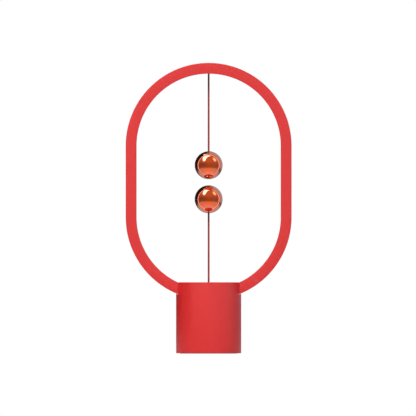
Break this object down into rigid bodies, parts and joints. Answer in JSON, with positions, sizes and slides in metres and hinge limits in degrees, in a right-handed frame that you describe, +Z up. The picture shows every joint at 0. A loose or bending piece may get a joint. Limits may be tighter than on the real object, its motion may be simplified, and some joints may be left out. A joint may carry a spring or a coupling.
{
  "type": "magnetic balance lamp",
  "caption": "Table lamp with an upright oval light ring in a round base and two copper magnetic balls on strings that switch it on when they hold each other in mid-air.",
  "frame": {"origin": "on the floor under the middle of the base", "axes": "+Z up, +X to the right along the ring's width, +Y to the back, where the power socket is"},
  "size_m": [0.214, 0.084, 0.375],
  "materials": {
    "red_plastic": "satin red",
    "frosted_diffuser": "frosted white",
    "light_strip": "white board with yellow light sources",
    "grey_plastic": "moulded grey",
    "black_plastic": "moulded black",
    "green_board": "green board with parts on it",
    "dark_rubber": "matt rubber",
    "steel": "zinc plated",
    "polished_copper": "mirror polished copper plate",
    "magnet": "nickel plated magnet",
    "red_braid": "braided red string",
    "red_wire": "red insulation",
    "black_wire": "black insulation",
    "white_wire": "white insulation"
  },
  "bodies": {
    "lamp_body": {"ring_front_shell": "red_plastic", "ring_rear_shell": "red_plastic", "diffuser_strip": "frosted_diffuser", "led_strip": "light_strip", "ring_end_plug_left": "grey_plastic", "ring_end_plug_right": "grey_plastic", "upper_string_grommet": "frosted_diffuser", "upper_string_root": "red_braid", "base_shell": "red_plastic", "top_cover": "red_plastic", "string_eyelet": "steel", "inner_frame": "grey_plastic", "ballast_weight": "steel", "bottom_plate": "black_plastic", "foot_pad": "dark_rubber", "control_board": "green_board", "usb_shell": "steel", "usb_tongue": "black_plastic", "slider_guide": "black_plastic", "microswitch_body": "black_plastic", "ring_screw_front_left": "steel", "ring_screw_front_right": "steel", "ring_screw_rear_left": "steel", "ring_screw_rear_right": "steel", "bottom_screw_1": "steel", "bottom_screw_2": "steel", "bottom_screw_3": "steel", "board_screw_left": "steel", "board_screw_right": "steel", "guide_screw_front": "steel", "guide_screw_rear": "steel", "switch_screw_inner": "steel", "switch_screw_outer": "steel", "led_wire_red": "red_wire", "led_wire_black": "black_wire", "switch_wire_red": "red_wire", "switch_wire_white": "white_wire"},
    "slider": {"pull_slider": "black_plastic", "pull_spring": "steel", "lower_string_tail": "red_braid"},
    "lever": {"switch_lever": "steel"},
    "plunger": {"switch_plunger": "dark_rubber"},
    "lower_string_a": {"lower_string_first": "red_braid"},
    "lower_string_b": {"lower_string_second": "red_braid"},
    "lower_string_c": {"lower_string_third": "red_braid", "lower_string_crimp": "steel"},
    "lower_ball": {"lower_ball_upper_shell": "polished_copper", "lower_ball_lower_shell": "polished_copper", "lower_ball_core": "grey_plastic", "lower_ball_magnet": "magnet"},
    "upper_string_a": {"upper_string_first": "red_braid"},
    "upper_string_b": {"upper_string_second": "red_braid", "upper_string_crimp": "steel"},
    "upper_ball": {"upper_ball_upper_shell": "polished_copper", "upper_ball_lower_shell": "polished_copper", "upper_ball_core": "grey_plastic", "upper_ball_magnet": "magnet"}
  },
  "joints": [
    {"name": "switch_pull", "type": "slide", "parent": "lamp_body", "child": "slider", "axis": [0, 0, 1], "range_m": [-0.003, 0], "stiffness_N_per_m": 400, "springref_m": 0.004, "deforming": ["pull_spring"]},
    {"name": "switch_lever_turn", "type": "hinge", "parent": "lamp_body", "child": "lever", "pos_m": [0.0225, 0, 0.03511], "axis": [0, 1, 0], "range_deg": [-13, 0]},
    {"name": "switch_plunger_press", "type": "slide", "parent": "lamp_body", "child": "plunger", "axis": [0, 0, 1], "range_m": [-0.0011, 0]},
    {"name": "lower_string_tilt", "type": "hinge", "parent": "slider", "child": "lower_string_a", "pos_m": [0, 0, 0.0965], "axis": [1, 0, 0], "range_deg": [-90, 90], "stiffness_Nm_per_rad": 0.15},
    {"name": "lower_string_lean", "type": "hinge", "parent": "lower_string_a", "child": "lower_string_b", "pos_m": [0, 0, 0.1065], "axis": [0, 1, 0], "range_deg": [-48, 48], "stiffness_Nm_per_rad": 0.13},
    {"name": "lower_string_fold", "type": "hinge", "parent": "lower_string_b", "child": "lower_string_c", "pos_m": [0, 0, 0.1435], "axis": [1, 0, 0], "range_deg": [-70, 70], "stiffness_Nm_per_rad": 0.1},
    {"name": "lower_ball_spin", "type": "hinge", "parent": "lower_string_c", "child": "lower_ball", "pos_m": [0, 0, 0.199], "axis": [0, 0, 1], "continuous": true},
    {"name": "upper_string_tilt", "type": "hinge", "parent": "lamp_body", "child": "upper_string_a", "pos_m": [0, 0, 0.3595], "axis": [1, 0, 0], "range_deg": [-80, 80]},
    {"name": "upper_string_lean", "type": "hinge", "parent": "upper_string_a", "child": "upper_string_b", "pos_m": [0, 0, 0.351], "axis": [0, 1, 0], "range_deg": [-42, 42]},
    {"name": "upper_ball_spin", "type": "hinge", "parent": "upper_string_b", "child": "upper_ball", "pos_m": [0, 0, 0.243], "axis": [0, 0, 1], "continuous": true}
  ],
  "couplings": [
    {"joint": "switch_lever_turn", "follows": "switch_pull", "rad_per_m": 74.074},
    {"joint": "switch_plunger_press", "follows": "switch_pull", "ratio": 0.3556}
  ]
}
